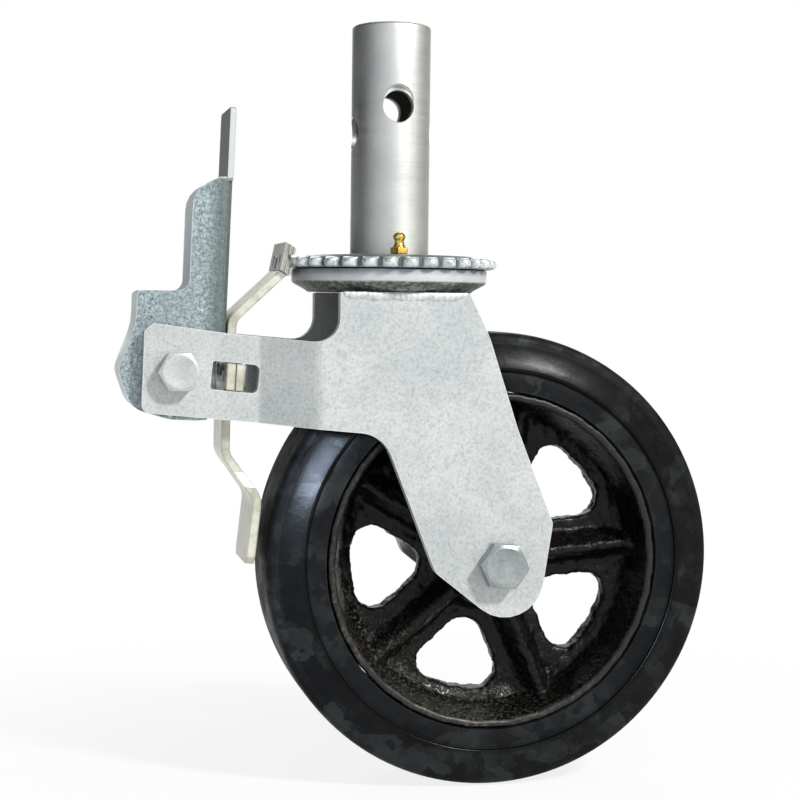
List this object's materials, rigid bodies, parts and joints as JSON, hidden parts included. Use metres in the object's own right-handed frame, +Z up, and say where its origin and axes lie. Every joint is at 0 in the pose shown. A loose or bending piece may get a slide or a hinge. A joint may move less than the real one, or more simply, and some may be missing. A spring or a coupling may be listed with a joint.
{
  "type": "scaffold castor",
  "caption": "Swivel scaffold castor with a plug-in tube stem, a toothed lock disc, a foot lever that locks swivel and tyre together, and a solid rubber tyre on a spoked core.",
  "frame": {"origin": "on the swivel axis, at the top face of the toothed lock disc, where the scaffold tube comes to rest", "axes": "+Z up along the stem; +X towards the side to which the wheel trails; +Y away from the side seen in the picture, along the wheel's axle"},
  "size_m": [0.266, 0.1002, 0.3377],
  "materials": {
    "satin_steel": "satin zinc plated tube",
    "galvanised": "pale galvanised, fine grain",
    "blue_zinc": "mottled blue-grey zinc",
    "bright_zinc": "bright zinc, slightly yellow",
    "brass": "bright",
    "black_iron": "gloss black over rough casting",
    "black_rubber": "satin black"
  },
  "bodies": {
    "stem": {"stem_tube": "satin_steel", "lock_disc": "galvanised", "grease_nipple": "brass", "kingpin": "bright_zinc", "lower_race": "galvanised", "kingpin_nut": "bright_zinc"},
    "fork": {"axle_bolt": "bright_zinc", "axle_nut": "bright_zinc", "axle_sleeve": "bright_zinc", "axle_washer": "bright_zinc", "crown_cup": "galvanised", "far_leg": "galvanised", "far_weld": "galvanised", "lower_ball_01": "bright_zinc", "lower_ball_02": "bright_zinc", "lower_ball_03": "bright_zinc", "lower_ball_04": "bright_zinc", "lower_ball_05": "bright_zinc", "lower_ball_06": "bright_zinc", "lower_ball_07": "bright_zinc", "lower_ball_08": "bright_zinc", "near_leg": "galvanised", "near_weld": "galvanised", "pivot_bolt": "bright_zinc", "pivot_bush": "bright_zinc", "pivot_nut": "bright_zinc", "pivot_washer": "bright_zinc", "upper_ball_01": "bright_zinc", "upper_ball_02": "bright_zinc", "upper_ball_03": "bright_zinc", "upper_ball_04": "bright_zinc", "upper_ball_05": "bright_zinc", "upper_ball_06": "bright_zinc", "upper_ball_07": "bright_zinc", "upper_ball_08": "bright_zinc", "upper_ball_09": "bright_zinc", "upper_ball_10": "bright_zinc", "upper_ball_11": "bright_zinc", "upper_ball_12": "bright_zinc"},
    "wheel": {"tyre": "black_rubber", "wheel_core": "black_iron", "bearing_cage": "bright_zinc", "near_thrust_washer": "bright_zinc", "far_thrust_washer": "bright_zinc", "bearing_roller_01": "bright_zinc", "bearing_roller_02": "bright_zinc", "bearing_roller_03": "bright_zinc", "bearing_roller_04": "bright_zinc", "bearing_roller_05": "bright_zinc", "bearing_roller_06": "bright_zinc", "bearing_roller_07": "bright_zinc", "bearing_roller_08": "bright_zinc"},
    "brake_slide": {"brake_strip": "bright_zinc", "guide_plate": "bright_zinc", "lock_block": "bright_zinc", "near_rivet": "bright_zinc", "far_rivet": "bright_zinc"},
    "pedal": {"brake_lever": "blue_zinc"}
  },
  "joints": [
    {"name": "swivel", "type": "hinge", "parent": "stem", "child": "fork", "pos_m": [0, 0, 0], "axis": [0, 0, 1], "continuous": true},
    {"name": "wheel_spin", "type": "hinge", "parent": "fork", "child": "wheel", "pos_m": [0.0442, 0, -0.1345], "axis": [0, 1, 0], "continuous": true},
    {"name": "lever_pivot", "type": "hinge", "parent": "fork", "child": "pedal", "pos_m": [-0.0956, 0, -0.051], "axis": [0, -1, 0], "range_deg": [0, 45]},
    {"name": "strip_slide", "type": "slide", "parent": "fork", "child": "brake_slide", "axis": [0.9954, 0, -0.0958], "range_m": [0, 0.0036]}
  ],
  "couplings": [
    {"joint": "strip_slide", "follows": "lever_pivot", "m_per_rad": 0.0045836}
  ]
}
